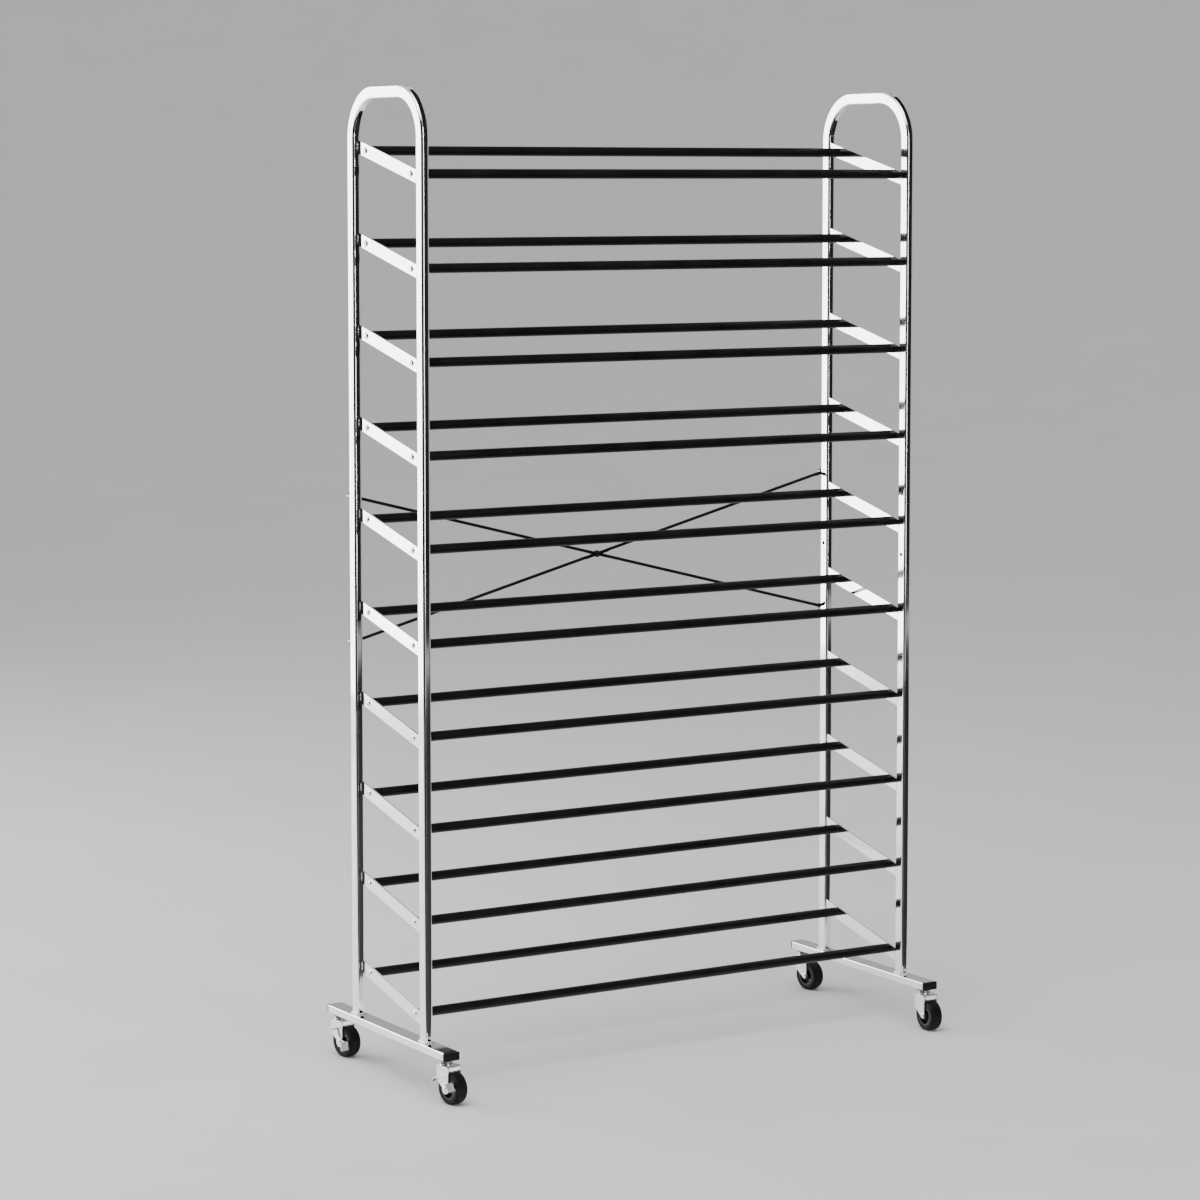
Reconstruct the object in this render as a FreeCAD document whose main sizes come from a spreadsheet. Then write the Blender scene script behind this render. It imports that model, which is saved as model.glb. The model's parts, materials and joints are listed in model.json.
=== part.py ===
"""Ten-tier rolling shoe rack: two chromed tube side frames, twenty black bars, a rear cross brace
and four swivel casters, the left pair with brakes.

Frame: X runs across the rack, left to right seen from the front; the front faces -Y; Z is up.
The origin is on the floor, at the middle of the wheels' and base tubes' footprint. Millimetres.
"""
import FreeCAD
import Part
import math
import os
import Sketcher

V = FreeCAD.Vector
LEFT, RIGHT = -1, 1
FRONT, REAR = -1, 1
SIDES = {"left": LEFT, "right": RIGHT}
ENDS = {"front": FRONT, "rear": REAR}

DRIVING_SIZES = {
    # tiers
    "tier_pitch": 155.2,
    "joint_extra": 3.0,
    "top_tier_height": 1564.0,
    "bar_spacing": 158.0,
    "bar_drop": 38.8,
    "bar_radius": 8.2,
    "bar_wall": 0.7,
    # side frames
    "frame_half_span": 490.0,
    "post_half_spacing": 120.0,
    "tube_width": 14.5,
    "tube_depth": 22.5,
    "tube_corner": 4.0,
    "tube_wall": 1.0,
    "arch_height": 1672.0,
    "arch_bend": 77.0,
    "seam_height": 828.5,
    "joint_screw_rise": 19.0,
    "sleeve_length": 76.0,
    "sleeve_wall": 1.2,
    "sleeve_slack": 0.1,
    # brackets
    "bracket_height": 22.0,
    "bracket_thickness": 3.0,
    "bracket_inset": 3.0,
    "bracket_hole_radius": 2.6,
    # base tubes and their caps
    "base_width": 30.0,
    "base_height": 14.0,
    "base_corner": 2.0,
    "base_wall": 1.2,
    "base_length": 408.0,
    "base_bottom": 72.0,
    "cap_flange": 3.0,
    "cap_plug": 9.0,
    "cap_slack": 0.1,
    # cross brace
    "brace_top": 978.0,
    "brace_bottom": 728.0,
    "brace_rod_radius": 2.8,
    "brace_tab": 2.6,
    "brace_tab_radius": 6.0,
    "brace_hole_radius": 2.6,
    "brace_flat_half": 22.0,
    # casters
    "stem_half_spacing": 188.0,
    "stem_radius": 4.0,
    "race_radius": 11.5,
    "caster_trail": 18.0,
    "wheel_radius": 26.8,
    "wheel_half_width": 11.5,
    "rim_radius": 18.5,
    "axle_radius": 3.0,
    "axle_slack": 0.1,
    "fork_half_gap": 12.6,
    "fork_sheet": 1.8,
    "fork_top": 63.5,
    "fork_toe": 5.0,
    "fork_heel": 25.5,
    "fork_shoulder": 23.0,
    # brake levers, measured from the axle when released; angles in degrees
    "brake_sheet": 1.8,
    "brake_gap": 0.35,
    "pedal_reach": 21.0,
    "pedal_rise": 8.0,
    "pedal_length": 15.0,
    "pedal_slope": 52.0,
    "pedal_width": 15.0,
    "tab_reach": 25.0,
    "tab_angle": 38.0,
    "tab_height": 7.0,
    "tab_width": 14.0,
    "brake_travel": 26.0,
    # how far each caster stands turned about its stem, in degrees
    "left_front_turn": 9.0,
    "left_rear_turn": 10.0,
    "right_front_turn": -3.0,
    "right_rear_turn": 8.0,
}

doc = FreeCAD.newDocument("ShoeRack")
sheet = doc.addObject("Spreadsheet::Sheet", "Sizes")
for row, (alias, value) in enumerate(DRIVING_SIZES.items(), start=1):
    sheet.set(f"A{row}", alias)
    sheet.set(f"B{row}", str(value))
    sheet.setAlias(f"B{row}", alias)
doc.recompute()

parts = []


def size(alias):
    """A driving size, read back from the sheet."""
    return float(sheet.get(alias))


def bind(thing, **expressions):
    """Binds properties to the sheet; a double underscore in a name stands for a dot."""
    for name, expression in expressions.items():
        thing.setExpression(name.replace("__", "."), expression)


def keep(thing, label):
    """Names a finished sub-part, so that it is written to a file of that name."""
    thing.Label = label
    parts.append(thing)
    return thing


# --- sketch and feature helpers ---------------------------------------------------------------


def new_body(name):
    body = doc.addObject("PartDesign::Body", name)
    body.AllowCompound = True
    return body


def origin_item(body, role):
    """One of the body's own origin planes or axes, such as XY_Plane or Z_Axis."""
    return next(item for item in body.Origin.OriginFeatures if item.Role == role)


def new_sketch(body, name, role, offset=None):
    """A sketch on one of the body's own origin planes, shifted by offset expressions x, y, z."""
    sketch = body.newObject("Sketcher::SketchObject", name)
    sketch.AttachmentSupport = [(origin_item(body, role), "")]
    sketch.MapMode = "FlatFace"
    for axis, expression in (offset or {}).items():
        sketch.setExpression(f"AttachmentOffset.Base.{axis}", expression)
    return sketch


def constrain(sketch, name, expression, *constraint):
    """Adds a named dimension that follows an expression."""
    index = sketch.addConstraint(Sketcher.Constraint(*constraint))
    sketch.renameConstraint(index, name)
    sketch.setExpression(f"Constraints.{name}", expression)


def line(sketch, start, end):
    return sketch.addGeometry(Part.LineSegment(V(*start, 0), V(*end, 0)), False)


def arc(sketch, centre, radius, first_degrees, last_degrees):
    circle = Part.Circle(V(*centre, 0), V(0, 0, 1), radius)
    first, last = math.radians(first_degrees), math.radians(last_degrees)
    return sketch.addGeometry(Part.ArcOfCircle(circle, first, last), False)


def circle(sketch, name, radius, radius_expression, centre, centre_expressions):
    """A circle whose radius and centre follow the sheet."""
    ring = sketch.addGeometry(Part.Circle(V(*centre, 0), V(0, 0, 1), radius), False)
    constrain(sketch, f"{name}_radius", radius_expression, "Radius", ring, radius)
    for axis, kind, where, expression in zip("xy", ("DistanceX", "DistanceY"), centre, centre_expressions):
        if expression is None:
            target = -2 if axis == "x" else -1
            sketch.addConstraint(Sketcher.Constraint("PointOnObject", ring, 3, target))
        else:
            constrain(sketch, f"{name}_{axis}", expression, kind, -1, 1, ring, 3, where)
    return ring


def rounded_rectangle(sketch, prefix, width, depth, corner):
    """A rounded rectangle centred on the sketch's origin. Each size is (value, expression)."""
    half_w, half_d, r = width[0] / 2, depth[0] / 2, corner[0]
    bottom = line(sketch, (-half_w + r, -half_d), (half_w - r, -half_d))
    right = line(sketch, (half_w, -half_d + r), (half_w, half_d - r))
    top = line(sketch, (half_w - r, half_d), (-half_w + r, half_d))
    left = line(sketch, (-half_w, half_d - r), (-half_w, -half_d + r))
    corner_br = arc(sketch, (half_w - r, -half_d + r), r, 270, 360)
    corner_tr = arc(sketch, (half_w - r, half_d - r), r, 0, 90)
    corner_tl = arc(sketch, (-half_w + r, half_d - r), r, 90, 180)
    corner_bl = arc(sketch, (-half_w + r, -half_d + r), r, 180, 270)
    turns = (
        (bottom, corner_br, right),
        (right, corner_tr, top),
        (top, corner_tl, left),
        (left, corner_bl, bottom),
    )
    for before, turn, after in turns:
        sketch.addConstraint(Sketcher.Constraint("Tangent", before, 2, turn, 1))
        sketch.addConstraint(Sketcher.Constraint("Tangent", turn, 2, after, 1))
    for flat in (bottom, top):
        sketch.addConstraint(Sketcher.Constraint("Horizontal", flat))
    for upright in (left, right):
        sketch.addConstraint(Sketcher.Constraint("Vertical", upright))
    for other in (corner_tr, corner_tl, corner_bl):
        sketch.addConstraint(Sketcher.Constraint("Equal", corner_br, other))
    sketch.addConstraint(Sketcher.Constraint("Symmetric", corner_bl, 3, corner_tr, 3, -1, 1))
    constrain(sketch, f"{prefix}_width", width[1], "DistanceX", left, 1, right, 1, width[0])
    constrain(sketch, f"{prefix}_depth", depth[1], "DistanceY", bottom, 1, top, 1, depth[0])
    constrain(sketch, f"{prefix}_corner", corner[1], "Radius", corner_br, r)


def tube_section(sketch, width, depth, corner, wall):
    """A hollow rounded-rectangle tube wall. The arguments are aliases of the sheet."""
    w, d, r, t = (size(alias) for alias in (width, depth, corner, wall))
    outside = ((w, f"Sizes.{width}"), (d, f"Sizes.{depth}"), (r, f"Sizes.{corner}"))
    inside = (
        (w - 2 * t, f"Sizes.{width} - 2 * Sizes.{wall}"),
        (d - 2 * t, f"Sizes.{depth} - 2 * Sizes.{wall}"),
        (r - t, f"Sizes.{corner} - Sizes.{wall}"),
    )
    rounded_rectangle(sketch, "outside", *outside)
    rounded_rectangle(sketch, "inside", *inside)


def pad(body, name, sketch, length, both_ways=False, backwards=False):
    feature = body.newObject("PartDesign::Pad", name)
    feature.Profile = sketch
    feature.setExpression("Length", length)
    feature.Midplane = both_ways
    feature.Reversed = backwards
    body.Tip = feature
    return feature


def pocket(body, name, sketch, length, backwards=False, both_ways=False):
    """Cuts a pocket and makes sure that it took something away."""
    doc.recompute()
    before = body.Shape.Volume
    feature = body.newObject("PartDesign::Pocket", name)
    feature.Profile = sketch
    feature.setExpression("Length", length)
    feature.Reversed = backwards
    feature.Midplane = both_ways
    body.Tip = feature
    doc.recompute()
    if not body.Shape.Volume < before - 1e-3:
        raise RuntimeError(f"{name} of {body.Name} cut nothing")
    return feature


def closed_outline(sketch, corners):
    for start, end in zip(corners, corners[1:] + corners[:1]):
        line(sketch, start, end)


def revolve(body, name, sketch, axis_role):
    """Turns a closed outline a full circle about one of the body's own axes."""
    feature = body.newObject("PartDesign::Revolution", name)
    feature.Profile = sketch
    feature.ReferenceAxis = (origin_item(body, axis_role), [""])
    feature.Angle = 360
    body.Tip = feature
    return feature


def turned_piece(body, corners, plane_role="XY_Plane", axis_role="X_Axis"):
    """A solid of revolution from the corners of its half section."""
    sketch = new_sketch(body, "half_section", plane_role)
    closed_outline(sketch, corners)
    return revolve(body, "turned", sketch, axis_role)


def grouped(label, master, placements):
    """One node of identical separate solids, copies of the master at the given placements."""
    doc.recompute()
    solids = []
    for placement in placements:
        copy = master.Shape.copy()
        copy.Placement = placement.multiply(copy.Placement)
        solids.append(copy)
    group = doc.addObject("Part::Feature", label)
    group.Shape = Part.makeCompound(solids)
    return keep(group, label)


def turned_about_z(degrees):
    return FreeCAD.Rotation(V(0, 0, 1), degrees)


# --- heights and places that several pieces share -----------------------------------------------

TIERS = range(1, 11)
LAST_UPPER_TIER = 5
TIERS_PER_SECTION = 5


def tier_expression(tier, end):
    """Height of a bar's axis, as an expression of the sheet."""
    steps = f"Sizes.top_tier_height - {tier - 1} * Sizes.tier_pitch"
    joint = " - Sizes.joint_extra" if tier > LAST_UPPER_TIER else ""
    drop = " - Sizes.bar_drop" if end == FRONT else ""
    return steps + joint + drop


def tier_height(tier, end):
    height = size("top_tier_height") - (tier - 1) * size("tier_pitch")
    if tier > LAST_UPPER_TIER:
        height -= size("joint_extra")
    if end == FRONT:
        height -= size("bar_drop")
    return height


BRACKET_OUTER = "(Sizes.frame_half_span - Sizes.bracket_inset + Sizes.bracket_thickness / 2)"
BRACKET_INNER = "(Sizes.frame_half_span - Sizes.bracket_inset - Sizes.bracket_thickness / 2)"
BASE_TOP = "(Sizes.base_bottom + Sizes.base_height)"

# small clearances and fastener holes that no other size depends on
CUT_MARGIN = 1.0
JOINT_HOLE_RADIUS = 2.1
JOINT_THREAD_RADIUS = 1.6
STEM_HOLE_SLACK = 0.2
SWIVEL_SLACK = 0.1


# --- side frames ------------------------------------------------------------------------------


def upper_frame(label, side):
    """The inverted U of a side frame, bent from one length of flat-sided tube."""
    body = new_body(label)
    foot = {"y": "-Sizes.post_half_spacing", "z": "Sizes.seam_height"}
    section = new_sketch(body, "section", "XY_Plane", foot)
    tube_section(section, "tube_width", "tube_depth", "tube_corner", "tube_wall")

    post, seam, bend = size("post_half_spacing"), size("seam_height"), size("arch_bend")
    crown = size("arch_height") - size("tube_depth") / 2
    path = new_sketch(body, "bend_line", "YZ_Plane")
    front_leg = line(path, (-post, seam), (-post, crown - bend))
    front_bend = arc(path, (-post + bend, crown - bend), bend, 90, 180)
    top = line(path, (-post + bend, crown), (post - bend, crown))
    rear_bend = arc(path, (post - bend, crown - bend), bend, 0, 90)
    rear_leg = line(path, (post, crown - bend), (post, seam))
    tangents = (
        (front_leg, 2, front_bend, 2),
        (front_bend, 1, top, 1),
        (top, 2, rear_bend, 2),
        (rear_bend, 1, rear_leg, 1),
    )
    for join in tangents:
        path.addConstraint(Sketcher.Constraint("Tangent", *join))
    path.addConstraint(Sketcher.Constraint("Vertical", front_leg))
    path.addConstraint(Sketcher.Constraint("Vertical", rear_leg))
    path.addConstraint(Sketcher.Constraint("Horizontal", top))
    path.addConstraint(Sketcher.Constraint("Equal", front_bend, rear_bend))
    path.addConstraint(Sketcher.Constraint("Symmetric", front_leg, 1, rear_leg, 2, -2))
    spacing = "2 * Sizes.post_half_spacing"
    constrain(path, "leg_spacing", spacing, "DistanceX", front_leg, 1, rear_leg, 2, 2 * post)
    constrain(path, "seam", "Sizes.seam_height", "DistanceY", -1, 1, front_leg, 1, seam)
    constrain(path, "crown", "Sizes.arch_height - Sizes.tube_depth / 2", "DistanceY", -1, 1, top, 1, crown)
    constrain(path, "bend", "Sizes.arch_bend", "Radius", front_bend, bend)

    pipe = body.newObject("PartDesign::AdditivePipe", "bent_tube")
    pipe.Profile = section
    pipe.Spine = path
    body.Tip = pipe

    screw_height = size("seam_height") + size("joint_screw_rise")
    screws = new_sketch(body, "joint_holes", "YZ_Plane")
    for name, end in ENDS.items():
        place = (end * post, screw_height)
        height = "Sizes.seam_height + Sizes.joint_screw_rise"
        centre = (f"{end} * Sizes.post_half_spacing", height)
        circle(screws, name, JOINT_HOLE_RADIUS, f"{JOINT_HOLE_RADIUS}", place, centre)
    pocket(body, "joint_screw_holes", screws, f"Sizes.tube_width / 2 + {CUT_MARGIN}", backwards=side == LEFT)
    brace = new_sketch(body, "brace_hole", "XZ_Plane", {"z": "-Sizes.post_half_spacing"})
    hole = size("brace_hole_radius")
    circle(brace, "hole", hole, "Sizes.brace_hole_radius", (0, size("brace_top")), (None, "Sizes.brace_top"))
    pocket(body, "brace_bolt_hole", brace, f"Sizes.tube_depth / 2 + {CUT_MARGIN}")
    bind(body, Placement__Base__x=f"{side} * Sizes.frame_half_span")
    return keep(body, label)


def lower_post(label, side, end):
    """A straight leg from the base tube up to the seam."""
    body = new_body(label)
    section = new_sketch(body, "section", "XY_Plane")
    tube_section(section, "tube_width", "tube_depth", "tube_corner", "tube_wall")
    pad(body, "straight_tube", section, f"Sizes.seam_height - {BASE_TOP}")
    if end == REAR:
        brace = new_sketch(body, "brace_hole", "XZ_Plane")
        height = f"Sizes.brace_bottom - {BASE_TOP}"
        place = (0, size("brace_bottom") - size("base_bottom") - size("base_height"))
        hole = size("brace_hole_radius")
        circle(brace, "hole", hole, "Sizes.brace_hole_radius", place, (None, height))
        pocket(body, "brace_bolt_hole", brace, f"Sizes.tube_depth / 2 + {CUT_MARGIN}")
    bind(
        body,
        Placement__Base__x=f"{side} * Sizes.frame_half_span",
        Placement__Base__y=f"{end} * Sizes.post_half_spacing",
        Placement__Base__z=BASE_TOP,
    )
    return keep(body, label)


def base_tube(label, side):
    """The rectangular foot tube under a side frame, with a stem hole near each end."""
    body = new_body(label)
    section = new_sketch(body, "section", "XZ_Plane")
    tube_section(section, "base_width", "base_height", "base_corner", "base_wall")
    pad(body, "straight_tube", section, "Sizes.base_length", both_ways=True)
    stems = new_sketch(body, "stem_holes", "XY_Plane")
    for name, end in ENDS.items():
        place = (0, end * size("stem_half_spacing"))
        hole, centre = size("stem_radius") + STEM_HOLE_SLACK, (None, f"{end} * Sizes.stem_half_spacing")
        circle(stems, name, hole, f"Sizes.stem_radius + {STEM_HOLE_SLACK}", place, centre)
    pocket(body, "caster_stem_holes", stems, f"Sizes.base_height / 2 + {CUT_MARGIN}")
    bind(
        body,
        Placement__Base__x=f"{side} * Sizes.frame_half_span",
        Placement__Base__z="Sizes.base_bottom + Sizes.base_height / 2",
    )
    return keep(body, label)


def joint_sleeves():
    """Four short inner tubes that line up the upper and lower lengths of the posts."""
    body = new_body("sleeve_master")
    section = new_sketch(body, "section", "XY_Plane")
    gap = "2 * (Sizes.tube_wall + Sizes.sleeve_slack)"
    inset = size("tube_wall") + size("sleeve_slack")
    wall = size("sleeve_wall")
    width, depth = size("tube_width") - 2 * inset, size("tube_depth") - 2 * inset
    corner = size("tube_corner") - inset
    outside = (
        (width, f"Sizes.tube_width - {gap}"),
        (depth, f"Sizes.tube_depth - {gap}"),
        (corner, "Sizes.tube_corner - Sizes.tube_wall - Sizes.sleeve_slack"),
    )
    inside = (
        (width - 2 * wall, f"Sizes.tube_width - {gap} - 2 * Sizes.sleeve_wall"),
        (depth - 2 * wall, f"Sizes.tube_depth - {gap} - 2 * Sizes.sleeve_wall"),
        (corner - wall, "Sizes.tube_corner - Sizes.tube_wall - Sizes.sleeve_slack - Sizes.sleeve_wall"),
    )
    rounded_rectangle(section, "outside", *outside)
    rounded_rectangle(section, "inside", *inside)
    pad(body, "straight_tube", section, "Sizes.sleeve_length", both_ways=True)
    thread = new_sketch(body, "screw_thread", "YZ_Plane")
    place, centre = (0, size("joint_screw_rise")), (None, "Sizes.joint_screw_rise")
    circle(thread, "hole", JOINT_THREAD_RADIUS, f"{JOINT_THREAD_RADIUS}", place, centre)
    pocket(body, "threaded_hole", thread, "Sizes.tube_width / 2")
    placements = []
    for side in SIDES.values():
        for end in ENDS.values():
            place = V(side * size("frame_half_span"), end * size("post_half_spacing"), size("seam_height"))
            placements.append(FreeCAD.Placement(place, turned_about_z(180 if side == LEFT else 0)))
    return grouped("post_joint_sleeves", body, placements)


def brackets(label, side, first_tier):
    """Five flat sloping strips between the posts of one side, one for each tier."""
    body = new_body(label)
    reach = size("post_half_spacing") - size("tube_depth") / 2
    slope = size("bar_drop") / size("bar_spacing")
    rise, half = reach * slope, size("bracket_height") / 2
    outline = new_sketch(body, "outline", "YZ_Plane")
    top = line(outline, (-reach, half - rise), (reach, half + rise))
    rear = line(outline, (reach, half + rise), (reach, rise - half))
    bottom = line(outline, (reach, rise - half), (-reach, -half - rise))
    front = line(outline, (-reach, -half - rise), (-reach, half - rise))
    for before, after in ((top, rear), (rear, bottom), (bottom, front), (front, top)):
        outline.addConstraint(Sketcher.Constraint("Coincident", before, 2, after, 1))
    outline.addConstraint(Sketcher.Constraint("Vertical", rear))
    outline.addConstraint(Sketcher.Constraint("Vertical", front))
    outline.addConstraint(Sketcher.Constraint("Symmetric", top, 1, bottom, 1, -1, 1))
    full_reach = "2 * Sizes.post_half_spacing - Sizes.tube_depth"
    climb = f"({full_reach}) * Sizes.bar_drop / Sizes.bar_spacing"
    constrain(outline, "length", full_reach, "DistanceX", top, 1, top, 2, 2 * reach)
    constrain(outline, "climb", climb, "DistanceY", top, 1, top, 2, 2 * rise)
    constrain(outline, "height", "Sizes.bracket_height", "DistanceY", bottom, 1, top, 2, 2 * half)
    strip = pad(body, "strip", outline, "Sizes.bracket_thickness", both_ways=True)
    holes = new_sketch(body, "screw_holes", "YZ_Plane")
    for name, end in ENDS.items():
        place = (end * size("bar_spacing") / 2, end * size("bar_drop") / 2)
        centre = (f"{end} * Sizes.bar_spacing / 2", f"{end} * Sizes.bar_drop / 2")
        circle(holes, name, size("bracket_hole_radius"), "Sizes.bracket_hole_radius", place, centre)
    through = f"Sizes.bracket_thickness + {CUT_MARGIN}"
    drilled = pocket(body, "bar_screw_holes", holes, through, both_ways=True)
    pattern = body.newObject("PartDesign::LinearPattern", "tiers")
    pattern.Originals = [strip, drilled]
    pattern.Direction = (origin_item(body, "Z_Axis"), [""])
    pattern.Reversed = True
    pattern.Occurrences = TIERS_PER_SECTION
    pattern.setExpression("Length", f"{TIERS_PER_SECTION - 1} * Sizes.tier_pitch")
    body.Tip = pattern
    bind(
        body,
        Placement__Base__x=f"{side} * (Sizes.frame_half_span - Sizes.bracket_inset)",
        Placement__Base__z=f"{tier_expression(first_tier, REAR)} - Sizes.bar_drop / 2",
    )
    return keep(body, label)


def end_caps():
    """Four plastic caps, each a flange over a tube end with a hollow plug inside it."""
    body = new_body("cap_master")
    width, height, corner = size("base_width"), size("base_height"), size("base_corner")
    flange = new_sketch(body, "flange_outline", "XZ_Plane")
    whole = ((width, "Sizes.base_width"), (height, "Sizes.base_height"), (corner, "Sizes.base_corner"))
    rounded_rectangle(flange, "flange", *whole)
    pad(body, "flange", flange, "Sizes.cap_flange")
    plug = new_sketch(body, "plug_outline", "XZ_Plane")
    plug_wall, hollow_corner = 2.0, 0.3
    inset, fit = size("base_wall") + size("cap_slack"), "(Sizes.base_wall + Sizes.cap_slack)"
    solid = (
        (width - 2 * inset, f"Sizes.base_width - 2 * {fit}"),
        (height - 2 * inset, f"Sizes.base_height - 2 * {fit}"),
        (corner - inset, f"Sizes.base_corner - {fit}"),
    )
    hollow = (
        (width - 2 * inset - 2 * plug_wall, f"Sizes.base_width - 2 * {fit} - {2 * plug_wall}"),
        (height - 2 * inset - 2 * plug_wall, f"Sizes.base_height - 2 * {fit} - {2 * plug_wall}"),
        (hollow_corner, f"{hollow_corner}"),
    )
    rounded_rectangle(plug, "plug", *solid)
    rounded_rectangle(plug, "hollow", *hollow)
    pad(body, "plug", plug, "Sizes.cap_plug", backwards=True)
    placements = []
    for side in SIDES.values():
        for end in ENDS.values():
            height_at = size("base_bottom") + size("base_height") / 2
            place = V(side * size("frame_half_span"), end * size("base_length") / 2, height_at)
            placements.append(FreeCAD.Placement(place, turned_about_z(180 if end == REAR else 0)))
    return grouped("base_end_caps", body, placements)


# --- bars -------------------------------------------------------------------------------------


def bar(tier, end_name, end):
    """A round tube between the side frames, its axis along X."""
    label = f"tier_{tier:02d}_{end_name}_bar"
    outer = doc.addObject("Part::Cylinder", f"{label}_outer")
    bind(outer, Radius="Sizes.bar_radius", Height=f"2 * {BRACKET_INNER}")
    inner = doc.addObject("Part::Cylinder", f"{label}_inner")
    bind(inner, Radius="Sizes.bar_radius - Sizes.bar_wall", Height=f"2 * {BRACKET_INNER}")
    tube = doc.addObject("Part::Cut", label)
    tube.Base, tube.Tool = outer, inner
    tube.Placement = FreeCAD.Placement(V(), FreeCAD.Rotation(V(0, 1, 0), 90))
    bind(
        tube,
        Placement__Base__x=f"-{BRACKET_INNER}",
        Placement__Base__y=f"{end} * Sizes.bar_spacing / 2",
        Placement__Base__z=tier_expression(tier, end),
    )
    return keep(tube, label)


def bar_end_places(offset_from_middle):
    """Places at both ends of all bars, each turned so that local +X points outwards."""
    placements = []
    for tier in TIERS:
        for end in ENDS.values():
            for side in SIDES.values():
                place = V(side * offset_from_middle, end * size("bar_spacing") / 2, tier_height(tier, end))
                placements.append(FreeCAD.Placement(place, turned_about_z(180 if side == LEFT else 0)))
    return placements


def bar_end_plugs():
    """A threaded plug pressed into each end of each bar."""
    body = new_body("plug_master")
    bore = size("bar_radius") - size("bar_wall")
    thread, length = 2.3, 18.0
    turned_piece(body, [(-length, thread), (0, thread), (0, bore), (-length, bore)])
    inner_face = size("frame_half_span") - size("bracket_inset") - size("bracket_thickness") / 2
    return grouped("bar_end_plugs", body, bar_end_places(inner_face))


def dome_screw(name, head_radius, rim, dome, shank_radius, shank_length):
    """A screw along X with a straight rim under a domed head.

    The head's seat is at X = 0 and the shank points to -X.
    """
    body = new_body(name)
    sketch = new_sketch(body, "outline", "XY_Plane")
    rise = (head_radius**2 - dome**2) / (2 * dome)
    dome_radius = dome + rise
    half_angle = math.degrees(math.asin(head_radius / dome_radius))
    arc(sketch, (rim - rise, 0), dome_radius, 0, half_angle)
    corners = [
        (rim, head_radius),
        (0, head_radius),
        (0, shank_radius),
        (-shank_length, shank_radius),
        (-shank_length, 0),
        (rim + dome, 0),
    ]
    for start, end in zip(corners, corners[1:]):
        line(sketch, start, end)
    revolve(body, "turned", sketch, "X_Axis")
    slot = new_sketch(body, "drive_cross", "YZ_Plane", {"z": f"{rim + dome}"})
    arm, half_width, recess_depth = head_radius * 0.5, 0.45, dome * 0.6
    cross = [
        (arm, half_width), (half_width, half_width), (half_width, arm),
        (-half_width, arm), (-half_width, half_width), (-arm, half_width),
        (-arm, -half_width), (-half_width, -half_width), (-half_width, -arm),
        (half_width, -arm), (half_width, -half_width), (arm, -half_width),
    ]
    closed_outline(slot, cross)
    pocket(body, "drive_recess", slot, f"{recess_depth}")
    return body


def bar_screws():
    screw = dome_screw(
        "bar_screw_master", head_radius=5.4, rim=0.8, dome=1.9, shank_radius=2.25, shank_length=15.0
    )
    outer_face = size("frame_half_span") - size("bracket_inset") + size("bracket_thickness") / 2
    return grouped("bar_screws", screw, bar_end_places(outer_face))


def joint_screws():
    """Small black screws on the posts' inner faces, just above the seams."""
    screw = dome_screw(
        "joint_screw_master", head_radius=3.4, rim=0.4, dome=1.4, shank_radius=1.5, shank_length=4.0
    )
    placements = []
    for side in SIDES.values():
        for end in ENDS.values():
            across = side * (size("frame_half_span") - size("tube_width") / 2)
            place = V(across, end * size("post_half_spacing"), size("seam_height") + size("joint_screw_rise"))
            placements.append(FreeCAD.Placement(place, turned_about_z(0 if side == LEFT else 180)))
    return grouped("post_joint_screws", screw, placements)


# --- cross brace ------------------------------------------------------------------------------


def post_rear_face():
    return size("post_half_spacing") + size("tube_depth") / 2


def brace_rod(label, direction):
    """A thin rod from post to post, flattened at its ends and where it crosses the other one.

    The end flats lie against the posts. Where the rods cross, the falling rod's flat lies behind
    the rising rod's, so the two are riveted face to face.
    """
    span, climb = 2 * size("frame_half_span"), size("brace_top") - size("brace_bottom")
    length = math.hypot(span, climb)
    radius, tab, eye = size("brace_rod_radius"), size("brace_tab"), size("brace_tab_radius")
    flat, hole = size("brace_flat_half"), size("brace_hole_radius")
    neck = 16.0
    half, lap = length / 2, 2.0
    shapes = []
    for start, end in ((-half + neck, -flat), (flat, half - neck)):
        shapes.append(Part.makeCylinder(radius, end - start, V(start, radius, 0), V(1, 0, 0)))
    middle_depth = 0.0 if direction > 0 else tab
    flats = (
        (-half, -half, -half + neck + lap, 0.0),
        (half, half - neck - lap, half, 0.0),
        (0.0, -flat - lap, flat + lap, middle_depth),
    )
    for centre, start, end, depth in flats:
        shapes.append(Part.makeCylinder(eye, tab, V(centre, depth, 0), V(0, 1, 0)))
        shapes.append(Part.makeBox(end - start, tab, 2 * radius, V(start, depth, -radius)))
    solid = shapes[0].multiFuse(shapes[1:])
    for centre in (-half, 0.0, half):
        solid = solid.cut(Part.makeCylinder(hole, 4 * radius, V(centre, -radius, 0), V(0, 1, 0)))
    rod = doc.addObject("Part::Feature", label)
    rod.Shape = solid.removeSplitter()
    tilt = math.degrees(math.atan2(climb, span)) * direction
    middle = (size("brace_top") + size("brace_bottom")) / 2
    rod.Placement = FreeCAD.Placement(V(0, post_rear_face(), middle), FreeCAD.Rotation(V(0, 1, 0), -tilt))
    return keep(rod, label)


def brace_bolts():
    """Four tall dome-headed bolts that hold the rods' ends to the rear posts."""
    bolt = dome_screw(
        "brace_bolt_master", head_radius=5.8, rim=8.0, dome=4.4, shank_radius=2.4, shank_length=15.0
    )
    placements = []
    for side in SIDES.values():
        for height in (size("brace_top"), size("brace_bottom")):
            place = V(side * size("frame_half_span"), post_rear_face() + size("brace_tab"), height)
            placements.append(FreeCAD.Placement(place, turned_about_z(90)))
    return grouped("brace_bolts", bolt, placements)


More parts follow.
